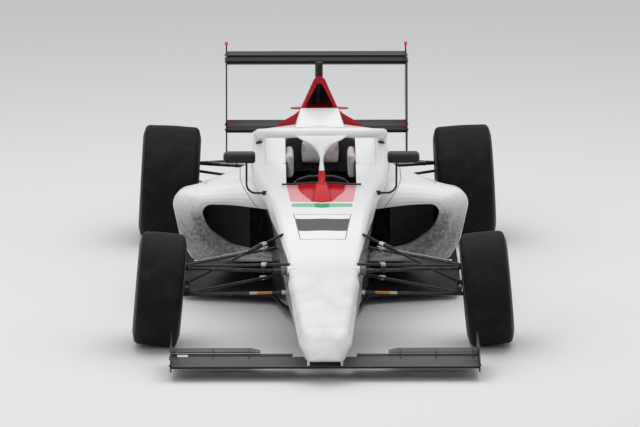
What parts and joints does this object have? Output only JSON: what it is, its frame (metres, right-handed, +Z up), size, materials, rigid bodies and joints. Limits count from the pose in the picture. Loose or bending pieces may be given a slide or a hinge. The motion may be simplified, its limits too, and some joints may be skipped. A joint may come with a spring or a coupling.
{
  "type": "open wheel racing car",
  "caption": "Single-seat open wheel racing car with halo, airbox, sidepods, front and rear wings, slick tyres, steering front wheels.",
  "frame": {"origin": "on the ground, under the middle of the car's length and width", "axes": "+Z up, -Y forward, +X to the car's left"},
  "size_m": [1.815, 4.34, 1.078],
  "materials": {
    "white_paint": "glossy paint",
    "red_paint": "glossy paint",
    "black_carbon": "satin carbon laminate",
    "bare_aluminium": "machined",
    "bare_steel": "brushed",
    "black_steel": "satin black",
    "cast_metal": "cast",
    "plank_wood": "worn",
    "red_lens": "clear red",
    "grip_rubber": "matte",
    "tyre_rubber": "slick",
    "rim_alloy": "satin black"
  },
  "bodies": {
    "chassis": {"monocoque": "white_paint", "nose_cone": "white_paint", "headrest": "white_paint", "cockpit_lip": "black_carbon", "halo": "white_paint", "roll_hoop_fairing": "white_paint", "engine_cover": "red_paint", "camera_mast": "black_carbon", "sidepod_left": "white_paint", "sidepod_right": "white_paint", "radiators": "bare_aluminium", "floor": "black_carbon", "skid_plank": "plank_wood", "diffuser": "black_carbon", "front_wing_main_plane": "black_carbon", "front_wing_flaps": "black_carbon", "front_wing_endplates": "black_carbon", "rear_wing_planes": "black_carbon", "rear_wing_endplates": "black_carbon", "tail_lights": "red_lens", "mirrors": "black_carbon", "seat": "black_carbon", "engine": "cast_metal", "gearbox": "cast_metal", "rear_crash_box": "black_carbon", "exhaust": "bare_steel", "front_wishbones": "black_steel", "front_pushrods": "black_steel", "rear_wishbones": "black_steel", "rear_links": "black_steel", "rear_uprights": "bare_aluminium"},
    "knuckle_left": {"knuckle_left": "bare_aluminium"},
    "knuckle_right": {"knuckle_right": "bare_aluminium"},
    "steering_gear": {"steering_rack": "bare_steel", "tie_rods": "black_steel"},
    "steering_wheel": {"steering_wheel": "grip_rubber"},
    "wheel_front_left": {"tyre_front_left": "tyre_rubber", "rim_front_left": "rim_alloy", "hub_front_left": "bare_steel"},
    "wheel_front_right": {"tyre_front_right": "tyre_rubber", "rim_front_right": "rim_alloy", "hub_front_right": "bare_steel"},
    "wheel_rear_left": {"tyre_rear_left": "tyre_rubber", "rim_rear_left": "rim_alloy", "hub_rear_left": "bare_steel"},
    "wheel_rear_right": {"tyre_rear_right": "tyre_rubber", "rim_rear_right": "rim_alloy", "hub_rear_right": "bare_steel"}
  },
  "joints": [
    {"name": "steer_left", "type": "hinge", "parent": "chassis", "child": "knuckle_left", "pos_m": [0.688, -1.218, 0.248], "axis": [-0.0295, 0.1476, 0.9886], "range_deg": [-18, 18]},
    {"name": "steer_right", "type": "hinge", "parent": "chassis", "child": "knuckle_right", "pos_m": [-0.688, -1.218, 0.248], "axis": [0.0295, 0.1476, 0.9886], "range_deg": [-18, 18]},
    {"name": "steering_rack_slide", "type": "slide", "parent": "chassis", "child": "steering_gear", "axis": [1, 0, 0], "range_m": [-0.023, 0.023]},
    {"name": "steering_wheel_turn", "type": "hinge", "parent": "chassis", "child": "steering_wheel", "pos_m": [0, -0.342, 0.59], "axis": [0, 0.9711, 0.2388], "range_deg": [-180, 180]},
    {"name": "wheel_front_left_spin", "type": "hinge", "parent": "knuckle_left", "child": "wheel_front_left", "pos_m": [0.77685, -1.21, 0.27367], "axis": [0.9962, 0, 0.0872], "continuous": true},
    {"name": "wheel_front_right_spin", "type": "hinge", "parent": "knuckle_right", "child": "wheel_front_right", "pos_m": [-0.77685, -1.21, 0.27367], "axis": [0.9962, 0, -0.0872], "continuous": true},
    {"name": "wheel_rear_left_spin", "type": "hinge", "parent": "chassis", "child": "wheel_rear_left", "pos_m": [0.74772, 1.54, 0.29095], "axis": [0.9984, 0, 0.0558], "continuous": true},
    {"name": "wheel_rear_right_spin", "type": "hinge", "parent": "chassis", "child": "wheel_rear_right", "pos_m": [-0.74772, 1.54, 0.29095], "axis": [0.9984, 0, -0.0558], "continuous": true}
  ],
  "couplings": [
    {"joint": "steer_right", "follows": "steer_left", "ratio": 1},
    {"joint": "steering_rack_slide", "follows": "steer_left", "m_per_rad": 0.072},
    {"joint": "steering_wheel_turn", "follows": "steer_left", "ratio": 10}
  ]
}
